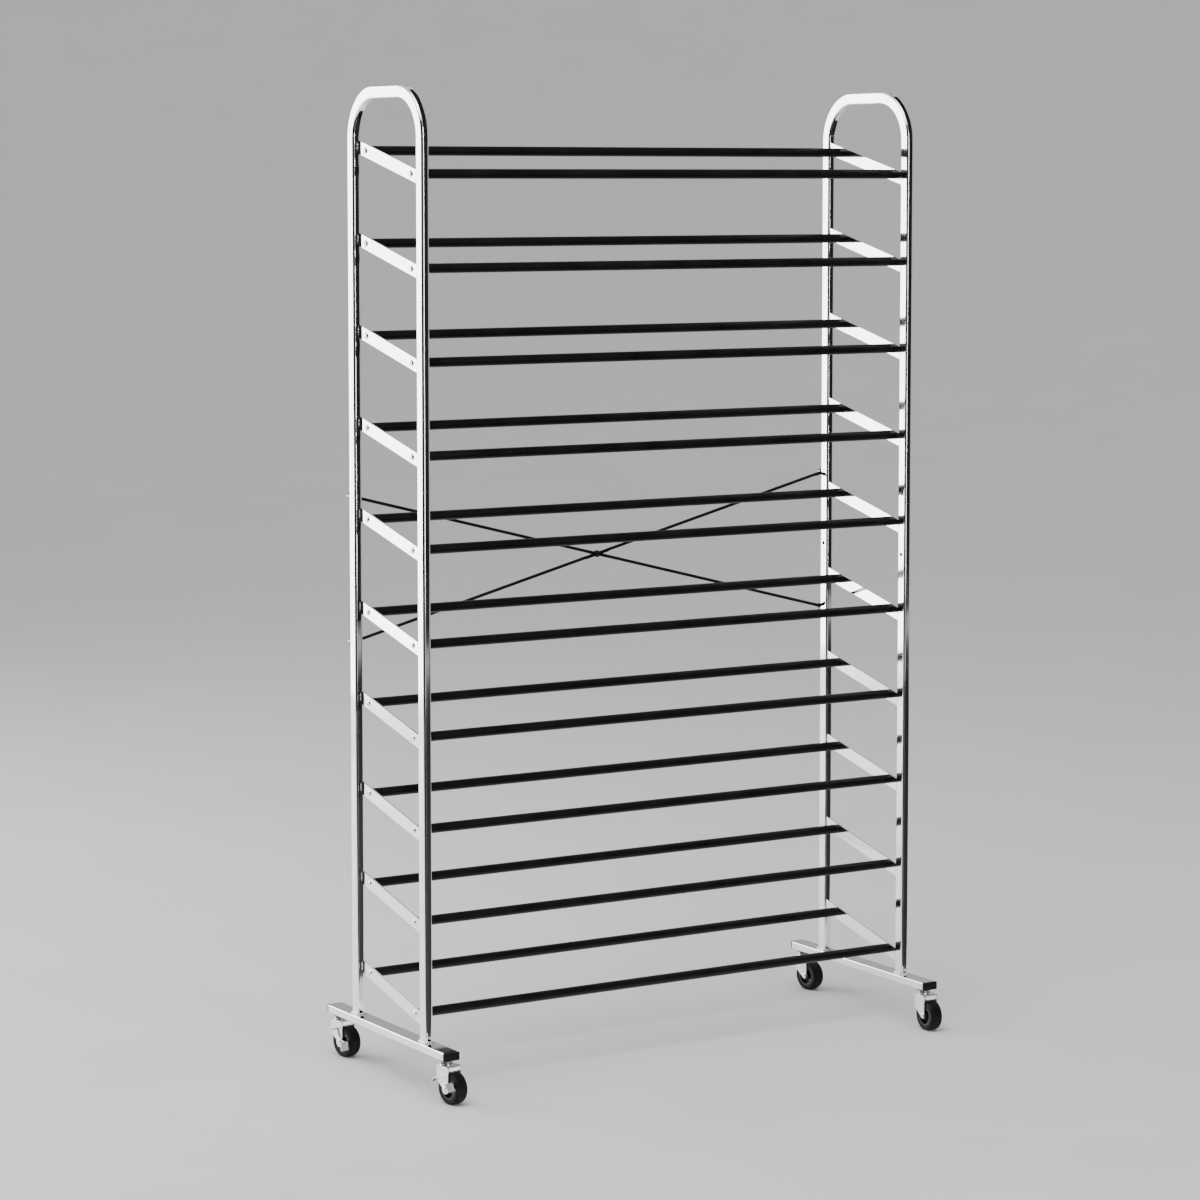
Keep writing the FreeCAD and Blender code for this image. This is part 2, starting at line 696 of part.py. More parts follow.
def brace_pivot_rivet():
    """The rivet through the crossing flats, with a chamfered head on both faces."""
    body = new_body("pivot_rivet")
    shank, head, thick, edge = 2.5, 4.4, 1.8, 0.9
    grip = 2 * size("brace_tab")
    corners = [
        (0, shank), (0, head), (-edge, head), (-thick, head - edge), (-thick, 0), (grip + thick, 0),
        (grip + thick, head - edge), (grip + edge, head), (grip, head), (grip, shank),
    ]
    turned_piece(body, corners)
    body.Placement = FreeCAD.Placement(V(0, post_rear_face(), 0), turned_about_z(90))
    bind(body, Placement__Base__z="(Sizes.brace_top + Sizes.brace_bottom) / 2")
    return keep(body, "brace_pivot_rivet")


# --- casters ----------------------------------------------------------------------------------


def caster_stems():
    """The fixed half of each caster: threaded stem, nut in the base tube, collar and upper race."""
    body = new_body("stem_master")
    under, floor = size("base_bottom"), size("base_bottom") + size("base_wall")
    stem, race, fork_top = size("stem_radius"), size("race_radius"), size("fork_top")
    rivet_top = fork_top - size("fork_sheet") - 0.3
    rivet_radius, rivet_height = 7.0, 2.0
    cup_bottom, cup_wall, cup_height, collar = fork_top + 2.0, 1.0, 2.6, 8.0
    nut_radius, nut_height, nut_lift = 6.5, 5.0, 0.05
    stem_end, stem_chamfer = floor + 8.0, 0.6
    outline = [
        (0, rivet_top - rivet_height),
        (rivet_radius, rivet_top - rivet_height),
        (rivet_radius, rivet_top),
        (stem, rivet_top),
        (stem, cup_bottom),
        (race - cup_wall, cup_bottom),
        (race, cup_bottom + cup_wall),
        (race - cup_wall / 2, cup_bottom + cup_height),
        (collar, cup_bottom + cup_height + cup_wall),
        (collar, under),
        (stem, under),
        (stem, floor + nut_lift),
        (nut_radius, floor + nut_lift),
        (nut_radius, floor + nut_height),
        (stem, floor + nut_height),
        (stem - stem_chamfer, stem_end),
        (0, stem_end),
    ]
    turned_piece(body, outline, "XZ_Plane", "Z_Axis")
    placements = []
    for side in SIDES.values():
        for end in ENDS.values():
            place = V(side * size("frame_half_span"), end * size("stem_half_spacing"), 0)
            placements.append(FreeCAD.Placement(place, FreeCAD.Rotation()))
    return grouped("caster_stems", body, placements)


def stand_on_stem(body, corner):
    """Places a caster piece on its stem's axis, turned to the side it trails to."""
    side_name, end_name = corner.split("_")
    bind(
        body,
        Placement__Base__x=f"{SIDES[side_name]} * Sizes.frame_half_span",
        Placement__Base__y=f"{ENDS[end_name]} * Sizes.stem_half_spacing",
        Placement__Rotation__Angle=f"Sizes.{corner}_turn",
    )


def stand_on_axle(body, corner):
    """Places a caster piece on the axle that trails behind the stem."""
    side_name, end_name = corner.split("_")
    along = f"Sizes.caster_trail * sin(Sizes.{corner}_turn)"
    behind = f"Sizes.caster_trail * cos(Sizes.{corner}_turn)"
    bind(
        body,
        Placement__Base__x=f"{SIDES[side_name]} * Sizes.frame_half_span + {along}",
        Placement__Base__y=f"{ENDS[end_name]} * Sizes.stem_half_spacing - {behind}",
        Placement__Base__z="Sizes.wheel_radius",
        Placement__Rotation__Angle=f"Sizes.{corner}_turn",
    )


def caster_fork(corner):
    """The pressed steel fork: a crown that turns on the stem and two tapering legs to the axle."""
    body = new_body(f"{corner}_caster_fork")
    trail, axle_height = size("caster_trail"), size("wheel_radius")
    top, gap, gauge = size("fork_top"), size("fork_half_gap"), size("fork_sheet")
    toe, brow = size("fork_toe"), 3.0
    rear_edge, shoulder = size("fork_heel") - trail, top - size("fork_shoulder")
    run, rise = size("fork_heel"), shoulder - axle_height
    touch = math.atan2(rise, run) - math.acos(toe / math.hypot(run, rise))
    rear_touch = (-trail + toe * math.cos(touch), axle_height + toe * math.sin(touch))
    outline = new_sketch(body, "leg_outline", "YZ_Plane")
    arc(outline, (-trail, axle_height), toe, 180, 360 + math.degrees(touch))
    corners = [
        rear_touch,
        (rear_edge, shoulder),
        (rear_edge, top - brow / 2),
        (rear_edge - brow / 2, top),
        (-trail - toe + brow, top),
        (-trail - toe, top - brow),
        (-trail - toe, axle_height),
    ]
    for first, last in zip(corners, corners[1:]):
        line(outline, first, last)
    pad(body, "fork_block", outline, "2 * (Sizes.fork_half_gap + Sizes.fork_sheet)", both_ways=True)
    inside = new_sketch(body, "wheel_space", "XZ_Plane")
    closed_outline(inside, [(-gap, 0), (gap, 0), (gap, top - gauge), (-gap, top - gauge)])
    pocket(body, "wheel_slot", inside, "8 * Sizes.wheel_radius", both_ways=True)
    race_height, race_step = 1.6, 0.5
    race = new_sketch(body, "race_outline", "XY_Plane", {"z": "Sizes.fork_top"})
    radius = size("race_radius") - race_step
    circle(race, "race", radius, f"Sizes.race_radius - {race_step}", (0, 0), (None, None))
    pad(body, "lower_race", race, f"{race_height}")
    bore = new_sketch(body, "stem_bore", "XY_Plane", {"z": f"Sizes.fork_top + {race_height} + {CUT_MARGIN}"})
    swivel = size("stem_radius") + SWIVEL_SLACK
    circle(bore, "bore", swivel, f"Sizes.stem_radius + {SWIVEL_SLACK}", (0, 0), (None, None))
    pocket(body, "stem_clearance", bore, f"Sizes.fork_sheet + {race_height} + {2 * CUT_MARGIN}")
    axle = new_sketch(body, "axle_bore", "YZ_Plane")
    centre = ("-Sizes.caster_trail", "Sizes.wheel_radius")
    circle(axle, "bore", size("axle_radius"), "Sizes.axle_radius", (-trail, axle_height), centre)
    pocket(body, "axle_holes", axle, "8 * Sizes.wheel_radius", both_ways=True)
    stand_on_stem(body, corner)
    return keep(body, body.Name)


def axle(corner, braked):
    """The axle rivet, with a longer end where it also carries the brake lever."""
    body = new_body(f"{corner}_axle")
    shaft, outer = size("axle_radius"), size("fork_half_gap") + size("fork_sheet")
    lever_room = 2 * size("brake_gap") + size("brake_sheet") if braked else 0.0
    braked_side = outer + lever_room
    head, thick, edge = 4.8, 1.6, 0.8
    outline = [
        (-braked_side - thick, 0),
        (-braked_side - thick, head - 2 * edge),
        (-braked_side - edge, head),
        (-braked_side, head),
        (-braked_side, shaft),
        (outer, shaft),
        (outer, head),
        (outer + edge, head),
        (outer + thick, head - 2 * edge),
        (outer + thick, 0),
    ]
    turned_piece(body, outline)
    stand_on_axle(body, corner)
    return keep(body, body.Name)


def tyre(corner):
    """A solid tyre with a flat tread and rounded shoulders."""
    body = new_body(f"{corner}_tyre")
    outer, rim, half = size("wheel_radius"), size("rim_radius"), size("wheel_half_width")
    shoulder = 4.0
    sketch = new_sketch(body, "profile", "XY_Plane")
    line(sketch, (-half + shoulder, outer), (half - shoulder, outer))
    arc(sketch, (half - shoulder, outer - shoulder), shoulder, 0, 90)
    line(sketch, (half, outer - shoulder), (half, rim))
    line(sketch, (half, rim), (-half, rim))
    line(sketch, (-half, rim), (-half, outer - shoulder))
    arc(sketch, (-half + shoulder, outer - shoulder), shoulder, 90, 180)
    revolve(body, "moulded", sketch, "X_Axis")
    stand_on_axle(body, corner)
    return keep(body, body.Name)


def hub(corner):
    """The moulded wheel centre: rim ring, thin web and a long boss on the axle."""
    body = new_body(f"{corner}_wheel_hub")
    bore, boss_half = size("axle_radius") + size("axle_slack"), size("fork_half_gap") - 0.4
    rim, rim_half, rim_inner = size("rim_radius"), size("wheel_half_width") - 0.6, 15.5
    boss, web_half, fillet = 7.0, 3.0, 0.7
    outline = [
        (-boss_half, bore),
        (boss_half, bore),
        (boss_half, boss),
        (web_half, boss + fillet),
        (web_half, rim_inner - fillet),
        (rim_half, rim_inner),
        (rim_half, rim),
        (-rim_half, rim),
        (-rim_half, rim_inner),
        (-web_half, rim_inner - fillet),
        (-web_half, boss + fillet),
        (-boss_half, boss),
    ]
    turned_piece(body, outline)
    stand_on_axle(body, corner)
    return keep(body, body.Name)


def brake_lever(corner, pressed):
    """A rocker on the axle's outer end: a sloping foot pedal in front and a release tab behind."""
    body = new_body(f"{corner}_brake_lever")
    gauge, bore = size("brake_sheet"), size("axle_radius") + size("axle_slack")
    face = {"z": f"{-size('fork_half_gap') - size('fork_sheet') - size('brake_gap')}"}
    ring_radius, root_half_width, pedal_arm_half_width = 8.0, 5.5, 5.0
    ring = new_sketch(body, "ring_outline", "YZ_Plane", face)
    circle(ring, "ring", ring_radius, f"{ring_radius}", (0, 0), (None, None))
    pad(body, "ring", ring, "Sizes.brake_sheet", backwards=True)

    slope, tilt = math.radians(size("pedal_slope")), math.radians(size("tab_angle"))
    pedal_centre = V(-size("pedal_reach"), size("pedal_rise"), 0)
    tab_centre = V(math.cos(tilt), math.sin(tilt), 0) * size("tab_reach")
    pedal_face, tab_face = V(math.cos(slope), math.sin(slope), 0), V(-math.sin(tilt), math.cos(tilt), 0)
    arms = (
        ("pedal", pedal_centre, pedal_face, size("pedal_length"), pedal_arm_half_width),
        ("release_tab", tab_centre, tab_face, size("tab_height"), size("tab_height") / 2),
    )
    turn = FreeCAD.Rotation(V(0, 0, 1), size("brake_travel") if pressed else 0.0)
    for name, centre, along, length, half_width in arms:
        outward = V(centre).normalize()
        across = V(-outward.y, outward.x, 0)
        root = min(root_half_width, half_width)
        inner, half_plate = V(along.y, -along.x, 0), along * (length / 2)
        if inner.dot(outward) > 0:
            inner = -inner
        arm_corners = [
            across * root,
            -across * root,
            centre - across * half_width,
            centre + across * half_width,
        ]
        plate_corners = [
            centre + half_plate,
            centre - half_plate,
            centre - half_plate + inner * gauge,
            centre + half_plate + inner * gauge,
        ]
        width = "Sizes.pedal_width" if name == "pedal" else "Sizes.tab_width"
        pieces = ((f"{name}_arm", arm_corners, "Sizes.brake_sheet"), (name, plate_corners, width))
        for piece, corners, reach in pieces:
            outline = new_sketch(body, f"{piece}_outline", "YZ_Plane", face)
            turned = [turn.multVec(corner) for corner in corners]
            closed_outline(outline, [(corner.x, corner.y) for corner in turned])
            pad(body, piece, outline, reach, backwards=True)
    pivot = new_sketch(body, "pivot_bore", "YZ_Plane")
    circle(pivot, "bore", bore, "Sizes.axle_radius + Sizes.axle_slack", (0, 0), (None, None))
    pocket(body, "pivot", pivot, "8 * Sizes.wheel_radius", both_ways=True)
    stand_on_axle(body, corner)
    return keep(body, body.Name)


# --- assembly ---------------------------------------------------------------------------------

for side_name, side in SIDES.items():
    upper_frame(f"{side_name}_upper_frame", side)
    base_tube(f"{side_name}_base_tube", side)
    brackets(f"{side_name}_upper_brackets", side, first_tier=1)
    brackets(f"{side_name}_lower_brackets", side, first_tier=LAST_UPPER_TIER + 1)
    for end_name, end in ENDS.items():
        lower_post(f"{side_name}_{end_name}_lower_post", side, end)
        corner = f"{side_name}_{end_name}"
        caster_fork(corner)
        axle(corner, braked=side == LEFT)
        tyre(corner)
        hub(corner)
        if side == LEFT:
            brake_lever(corner, pressed=end == REAR)

for tier in TIERS:
    for end_name, end in ENDS.items():
        bar(tier, end_name, end)

joint_sleeves()
joint_screws()
end_caps()
bar_end_plugs()
bar_screws()
brace_rod("rising_brace_rod", 1)
brace_rod("falling_brace_rod", -1)
brace_bolts()
brace_pivot_rivet()
caster_stems()

doc.recompute()
for thing in doc.Objects:
    if {"Invalid", "Error"} & set(thing.State):
        raise RuntimeError(f"{thing.Label} failed: {thing.State}")
os.makedirs("parts", exist_ok=True)
for part in parts:
    if part.Shape.isNull() or not part.Shape.isValid() or part.Shape.Volume <= 0:
        raise RuntimeError(f"{part.Label} has no valid solid")
    part.Shape.exportStep(f"parts/{part.Label}.step")
    print(f"{part.Label}: {len(part.Shape.Solids)} solids, {part.Shape.Volume / 1000:.2f} cm3")
print(len(parts), "nodes")
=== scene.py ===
import json
import math

import bmesh
import bpy
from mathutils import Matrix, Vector


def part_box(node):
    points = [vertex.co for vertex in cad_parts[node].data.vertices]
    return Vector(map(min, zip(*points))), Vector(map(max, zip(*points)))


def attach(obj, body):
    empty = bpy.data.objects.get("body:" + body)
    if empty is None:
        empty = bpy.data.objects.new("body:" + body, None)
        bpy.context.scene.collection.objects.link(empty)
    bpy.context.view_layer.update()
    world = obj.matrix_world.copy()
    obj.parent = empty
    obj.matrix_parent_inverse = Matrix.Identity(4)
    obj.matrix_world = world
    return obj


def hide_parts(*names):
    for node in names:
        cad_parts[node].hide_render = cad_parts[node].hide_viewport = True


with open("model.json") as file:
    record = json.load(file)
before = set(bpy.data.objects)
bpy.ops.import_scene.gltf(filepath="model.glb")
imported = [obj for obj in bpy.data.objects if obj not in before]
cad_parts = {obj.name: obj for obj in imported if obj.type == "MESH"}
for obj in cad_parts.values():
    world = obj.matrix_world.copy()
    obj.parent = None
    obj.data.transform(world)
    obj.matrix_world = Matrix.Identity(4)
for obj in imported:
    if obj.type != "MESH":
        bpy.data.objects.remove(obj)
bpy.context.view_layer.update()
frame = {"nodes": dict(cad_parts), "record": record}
nodes = frame["nodes"]

SIDES = {"left": -1, "right": 1}
ENDS = {"front": -1, "rear": 1}


# --- materials -------------------------------------------------------------------------------


class Material:
    """A small wrapper that makes node materials short to write."""

    def __init__(self, name, **shader_values):
        self.material = bpy.data.materials.new(name)
        self.material.use_nodes = True
        self.tree = self.material.node_tree
        self.shader = self.tree.nodes["Principled BSDF"]
        self.coordinates = self.tree.nodes.new("ShaderNodeTexCoord").outputs["Object"]
        for socket, value in shader_values.items():
            self.shader.inputs[socket.replace("_", " ")].default_value = value

    def link(self, start, end):
        self.tree.links.new(start, end)

    def stretched(self, scale):
        """Object coordinates, scaled on each axis."""
        node = self.tree.nodes.new("ShaderNodeMapping")
        node.inputs["Scale"].default_value = scale
        self.link(self.coordinates, node.inputs["Vector"])
        return node.outputs["Vector"]

    def noise(self, scale, detail=3.0, roughness=0.5, vector=None):
        node = self.tree.nodes.new("ShaderNodeTexNoise")
        node.inputs["Scale"].default_value = scale
        node.inputs["Detail"].default_value = detail
        node.inputs["Roughness"].default_value = roughness
        self.link(vector or self.coordinates, node.inputs["Vector"])
        return node.outputs["Fac"]

    def voronoi(self, scale, vector=None, output="Distance", feature="F1"):
        node = self.tree.nodes.new("ShaderNodeTexVoronoi")
        node.feature = feature
        node.inputs["Scale"].default_value = scale
        self.link(vector or self.coordinates, node.inputs["Vector"])
        return node.outputs[output]

    def ramp(self, value, stops):
        """Maps a value to colours at given positions; each stop is (position, colour or grey)."""
        node = self.tree.nodes.new("ShaderNodeValToRGB")
        elements = node.color_ramp.elements
        while len(elements) < len(stops):
            elements.new(0.5)
        for element, (position, colour) in zip(elements, stops):
            element.position = position
            grey = (colour,) * 3 if isinstance(colour, (int, float)) else colour
            element.color = (*grey, 1.0)
        self.link(value, node.inputs["Fac"])
        return node.outputs["Color"]

    def remap(self, value, low, high, from_low=0.0, from_high=1.0):
        node = self.tree.nodes.new("ShaderNodeMapRange")
        limits = {"From Min": from_low, "From Max": from_high, "To Min": low, "To Max": high}
        for socket, number in limits.items():
            node.inputs[socket].default_value = number
        self.link(value, node.inputs["Value"])
        return node.outputs["Result"]

    def maths(self, operation, first, second):
        node = self.tree.nodes.new("ShaderNodeMath")
        node.operation = operation
        for index, item in enumerate((first, second)):
            if isinstance(item, (int, float)):
                node.inputs[index].default_value = item
            else:
                self.link(item, node.inputs[index])
        return node.outputs["Value"]

    def mix(self, factor, first, second, blend="MIX"):
        node = self.tree.nodes.new("ShaderNodeMix")
        node.data_type = "RGBA"
        node.blend_type = blend
        for index, item in ((0, factor), (6, first), (7, second)):
            if isinstance(item, (int, float)):
                node.inputs[index].default_value = item
            elif isinstance(item, tuple):
                node.inputs[index].default_value = (*item, 1.0)
            else:
                self.link(item, node.inputs[index])
        return node.outputs[2]

    def bump(self, height, distance, strength=1.0, onto=None):
        node = self.tree.nodes.new("ShaderNodeBump")
        node.inputs["Strength"].default_value = strength
        node.inputs["Distance"].default_value = distance
        self.link(height, node.inputs["Height"])
        if onto is not None:
            self.link(onto, node.inputs["Normal"])
        return node.outputs["Normal"]

    def use(self, **sockets):
        for socket, output in sockets.items():
            self.link(output, self.shader.inputs[socket.replace("_", " ")])
        return self.material


def chrome(name, lengthwise, tone=0.86):
    """Polished plating on drawn tube: faint lengthwise lines, wiped smudges and a few dull specks."""
    m = Material(name, Metallic=1.0)
    draw = {"X": (8, 700, 700), "Y": (700, 8, 700), "Z": (700, 700, 8)}[lengthwise]
    lines = m.noise(1.0, 2.0, 0.6, m.stretched(draw))
    smudge = m.noise(11.0, 5.0, 0.6)
    specks = m.voronoi(330.0)
    dull, clean = (tone * 0.93, tone * 0.945, tone * 0.97), (tone, tone, tone * 1.01)
    speck = (tone * 0.6, tone * 0.58, tone * 0.55)
    colour = m.ramp(smudge, [(0.3, dull), (0.7, clean)])
    colour = m.mix(m.remap(specks, 0.3, 0.0, 0.02, 0.06), colour, speck)
    rough = m.maths("ADD", m.remap(smudge, 0.03, 0.10, 0.35, 0.75), m.remap(lines, 0.0, 0.03, 0.4, 0.8))
    return m.use(Base_Color=colour, Roughness=rough, Normal=m.bump(lines, 0.000006, 0.3))


def powder_coat(name, tone=0.004, roughness=0.3):
    """Satin black powder coat: orange peel, and slightly rubbed patches where shoes slide."""
    m = Material(name, Specular_IOR_Level=0.15)
    peel = m.noise(1400.0, 2.0, 0.55)
    patches = m.noise(14.0, 4.0, 0.6)
    colour = m.ramp(patches, [(0.3, (tone, tone, tone * 1.08)), (0.75, (tone * 1.8, tone * 1.8, tone * 1.9))])
    rough = m.remap(patches, roughness - 0.04, roughness + 0.09, 0.3, 0.7)
    return m.use(Base_Color=colour, Roughness=rough, Normal=m.bump(peel, 0.00004, 0.5))


def moulded(name, tone, roughness=0.45, grain=1100.0, specular=0.2):
    """Moulded plastic with a fine spark-eroded grain."""
    m = Material(name, Specular_IOR_Level=specular)
    fine = m.noise(grain, 3.0, 0.65)
    broad = m.noise(30.0, 3.0)
    colour = m.ramp(broad, [(0.3, tuple(c * 0.8 for c in tone)), (0.7, tuple(c * 1.25 for c in tone))])
    rough = m.remap(fine, roughness - 0.08, roughness + 0.1, 0.3, 0.7)
    return m.use(Base_Color=colour, Roughness=rough, Normal=m.bump(fine, 0.00006, 0.6))


def zinc(name, tone=0.8, roughness=0.2):
    """Bright zinc plating on pressed steel: cloudy, spangled, with shallow press marks."""
    m = Material(name, Metallic=1.0)
    cloud = m.noise(70.0, 5.0, 0.6)
    cells = m.voronoi(260.0, output="Color")
    bluish, warm = (tone * 0.86, tone * 0.9, tone * 0.97), (tone, tone, tone * 0.99)
    colour = m.ramp(cloud, [(0.25, bluish), (0.75, warm)])
    clouded = m.remap(cloud, roughness - 0.07, roughness + 0.1, 0.3, 0.7)
    rough = m.maths("ADD", clouded, m.remap(cells, 0.0, 0.05))
    return m.use(Base_Color=colour, Roughness=rough, Normal=m.bump(m.noise(420.0, 3.0), 0.00005, 0.5))


def weld_bead(name):
    """A plated weld: rippled, duller and greyer than the tube beside it."""
    m = Material(name, Metallic=1.0)
    scale = m.noise(600.0, 4.0, 0.65)
    colour = m.ramp(scale, [(0.3, (0.6, 0.6, 0.61)), (0.7, (0.84, 0.84, 0.85))])
    return m.use(
        Base_Color=colour, Roughness=m.remap(scale, 0.2, 0.42, 0.3, 0.7), Normal=m.bump(scale, 0.0002, 0.7)
    )


def tyre_rubber(name):
    """Black rubber with moulding lines round the tread and dust in its texture."""
    m = Material(name, Specular_IOR_Level=0.14)
    dust = m.noise(120.0, 6.0, 0.7)
    rings = m.noise(1.0, 2.0, 0.5, m.stretched((1600, 30, 30)))
    colour = m.ramp(dust, [(0.45, (0.0035, 0.0035, 0.0038)), (0.8, (0.012, 0.0118, 0.0115))])
    rough = m.remap(dust, 0.3, 0.5, 0.3, 0.7)
    normal = m.bump(rings, 0.00006, 0.5, m.bump(dust, 0.00006, 0.5))
    return m.use(Base_Color=colour, Roughness=rough, Normal=normal)


def studio_surface(name, tone):
    m = Material(name, Specular_IOR_Level=0.2)
    grain = m.noise(3.0, 6.0, 0.55)
    colour = m.ramp(grain, [(0.3, (tone,) * 3), (0.7, (tone * 1.03,) * 3)])
    return m.use(Base_Color=colour, Roughness=m.remap(grain, 0.6, 0.75, 0.3, 0.7))


SLOTS = {
    "chrome_tube": chrome("chrome_tube", "Z"),
    "chrome_strip": chrome("chrome_strip", "Y", 0.84),
    "black_bar": powder_coat("black_bar"),
    "black_brace": powder_coat("black_brace", 0.0045),
    "black_plastic": moulded("black_plastic", (0.005, 0.005, 0.0055), 0.32),
    "plug_steel": zinc("plug_steel", 0.6, 0.35),
    "bright_screw": zinc("bright_screw", 0.86, 0.14),
    "black_screw": powder_coat("black_screw", 0.008, 0.25),
    "zinc_caster": zinc("zinc_caster", 0.84, 0.2),
    "brake_steel": zinc("brake_steel", 0.9, 0.36),
    "tyre": tyre_rubber("tyre"),
    "hub_plastic": moulded("hub_plastic", (0.008, 0.008, 0.009), 0.2, specular=0.6),
}
base_chrome = chrome("chrome_foot_tube", "Y")
plated_weld = weld_bead("plated_weld")
node_finishes = {
    # The brace bolts' plating is toned dark: a painted dark reflection that stands in for dim surroundings
    # mirrored in the plated domes.
    "brace_bolts": zinc("bolt_tone_painted_dark_reflection", 0.2, 0.12),
    "caster_stems": zinc("greased_zinc", 0.42, 0.28),
}
node_slot = {row["node"]: row["material_slot"] for row in frame["record"]["subparts"]}
for name, node in nodes.items():
    material = node_finishes.get(name, SLOTS[node_slot[name]])
    for slot in node.material_slots:
        slot.material = material

# --- shapes shared by several pieces -------------------------------------------------------------

SEAM_CHAMFER = 0.0006
SHARP = math.radians(35)


def add_piece(name, bm, material, body="rack_frame", replaces=()):
    """Finishes a mesh piece: smooth but for its sharp edges, on its body, with its finish."""
    bmesh.ops.recalc_face_normals(bm, faces=bm.faces)
    mesh = bpy.data.meshes.new(name)
    bm.to_mesh(mesh)
    bm.free()
    mesh.shade_smooth()
    mesh.set_sharp_from_angle(angle=SHARP)
    mesh.materials.append(material)
    piece = bpy.data.objects.new(name, mesh)
    bpy.context.scene.collection.objects.link(piece)
    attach(piece, body)
    if replaces:
        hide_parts(*replaces)
    return piece


def rounded_profile(width, depth, corner, steps=7, support=0.00025):
    """A closed rounded rectangle. Points just inside each flat keep its reflection flat."""
    points = []
    for quarter in range(4):
        sx, sy = ((1, -1), (1, 1), (-1, 1), (-1, -1))[quarter]
        centre = Vector((sx * (width / 2 - corner), sy * (depth / 2 - corner)))
        start = math.radians(-90 + 90 * quarter)
        turns = [start + math.radians(90) * step / steps for step in range(steps + 1)]
        arc = [centre + Vector((math.cos(turn), math.sin(turn))) * corner for turn in turns]
        before = Vector((math.sin(turns[0]), -math.cos(turns[0]))) * support
        after = Vector((-math.sin(turns[-1]), math.cos(turns[-1]))) * support
        points += [arc[0] + before, *arc, arc[-1] + after]
    return points


def sweep(bm, profile, stations):
    """Skins a closed profile over stations of (centre, axis of u, axis of v, inset)."""
    half_u = max(point.x for point in profile)
    half_v = max(point.y for point in profile)
    rings = []
    for centre, along_u, along_v, inset in stations:
        su, sv = 1 - inset / half_u, 1 - inset / half_v
        rings.append([bm.verts.new(centre + along_u * p.x * su + along_v * p.y * sv) for p in profile])
    for near, far in zip(rings, rings[1:]):
        for index in range(len(profile)):
            after = (index + 1) % len(profile)
            bm.faces.new((near[index], near[after], far[after], far[index]))
    bm.faces.new(rings[0])
    bm.faces.new(rings[-1])


def bead(bm, path, radius, closed=False, ripple=0.22, sides=8, pitch=0.0016):
    """A weld bead: overlapping ripples laid along a path of points."""
    length = sum((b - a).length for a, b in zip(path, path[1:]))
    count = max(4, int(length / pitch) * 2)
    steps, walked, index = [], 0.0, 0
    for step in range(count + 1):
        target = length * step / count
        while index < len(path) - 2 and walked + (path[index + 1] - path[index]).length < target:
            walked += (path[index + 1] - path[index]).length
            index += 1
        run = (path[index + 1] - path[index])
        steps.append((path[index] + run.normalized() * (target - walked), run.normalized()))
    rings = []
    for number, (centre, along) in enumerate(steps):
        swell = 1 - ripple * (number % 2) + 0.1 * math.sin(number * 2.3)
        if not closed:
            swell *= math.sin(math.pi * (0.08 + 0.84 * number / count)) ** 0.5
        side = along.cross(Vector((0.31, 0.52, 0.79))).normalized()
        other = along.cross(side)
        turns = [2 * math.pi * corner / sides for corner in range(sides)]
        rings.append([
            bm.verts.new(centre + (side * math.cos(t) + other * math.sin(t)) * radius * swell) for t in turns
        ])
    for near, far in zip(rings, rings[1:]):
        for corner in range(sides):
            after = (corner + 1) % sides
            bm.faces.new((near[corner], near[after], far[after], far[corner]))
    bm.faces.new(rings[0])
    bm.faces.new(rings[-1])


# --- side frames ---------------------------------------------------------------------------------

X, Y, Z = Vector((1, 0, 0)), Vector((0, 1, 0)), Vector((0, 0, 1))
ARCH_BEND = 0.077
BEND_STEPS = 28
UPPER_TIERS = range(1, 6)
LOWER_TIERS = range(6, 11)
TUBE_CORNER = 0.004
FOOT_CORNER = 0.002


def middle(node):
    low, high = (Vector(corner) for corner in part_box(node))
    return (low + high) / 2


def box_size(node):
    low, high = (Vector(corner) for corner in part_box(node))
    return high - low


def arch(side_name):
    """The bent tube of a side frame, skinned over its bend line."""
    node = f"{side_name}_upper_frame"
    low, high = (Vector(corner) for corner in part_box(node))
    width, across = high.x - low.x, (low.x + high.x) / 2
    post_low, post_high = (Vector(corner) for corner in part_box(f"{side_name}_front_lower_post"))
    depth = post_high.y - post_low.y
    reach, crown, bend = (high.y - low.y - depth) / 2, high.z - depth / 2, ARCH_BEND
    foot = Vector((across, -reach, low.z))
    path = [(foot, -Y, SEAM_CHAMFER), (foot + Z * SEAM_CHAMFER, -Y, 0)]
    for step in range(BEND_STEPS + 1):
        turn = math.radians(90) * step / BEND_STEPS
        outward = -Y * math.cos(turn) + Z * math.sin(turn)
        path.append((Vector((across, -reach + bend, crown - bend)) + outward * bend, outward, 0))
    mirrored = [(Vector((c.x, -c.y, c.z)), Vector((0, -o.y, o.z)), inset) for c, o, inset in reversed(path)]
    stations = [(centre, X, outward, inset) for centre, outward, inset in path + mirrored]
    bm = bmesh.new()
    sweep(bm, rounded_profile(width, depth, TUBE_CORNER), stations)
    add_piece(f"{side_name}_arch", bm, SLOTS["chrome_tube"], replaces=[node])


def straight_tube(name, node, along, corner, material, chamfer_start, chamfer_end):
    """A straight rounded tube over a node's box."""
    low, high = (Vector(corner_at) for corner_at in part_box(node))
    centre, axis = (low + high) / 2, {"Y": Y, "Z": Z}[along]
    along_v = Y if along == "Z" else Z
    half = (high - low).dot(axis) / 2
    profile = rounded_profile(high.x - low.x, (high - low).dot(along_v), corner)
    stations = [
        (centre - axis * half, X, along_v, chamfer_start),
        (centre - axis * (half - chamfer_start), X, along_v, 0),
        (centre + axis * (half - chamfer_end), X, along_v, 0),
        (centre + axis * half, X, along_v, chamfer_end),
    ]
    if not chamfer_start:
        stations = stations[1:]
    if not chamfer_end:
        stations = stations[:-1]
    bm = bmesh.new()
    sweep(bm, profile, stations)
    add_piece(name, bm, material, replaces=[node])


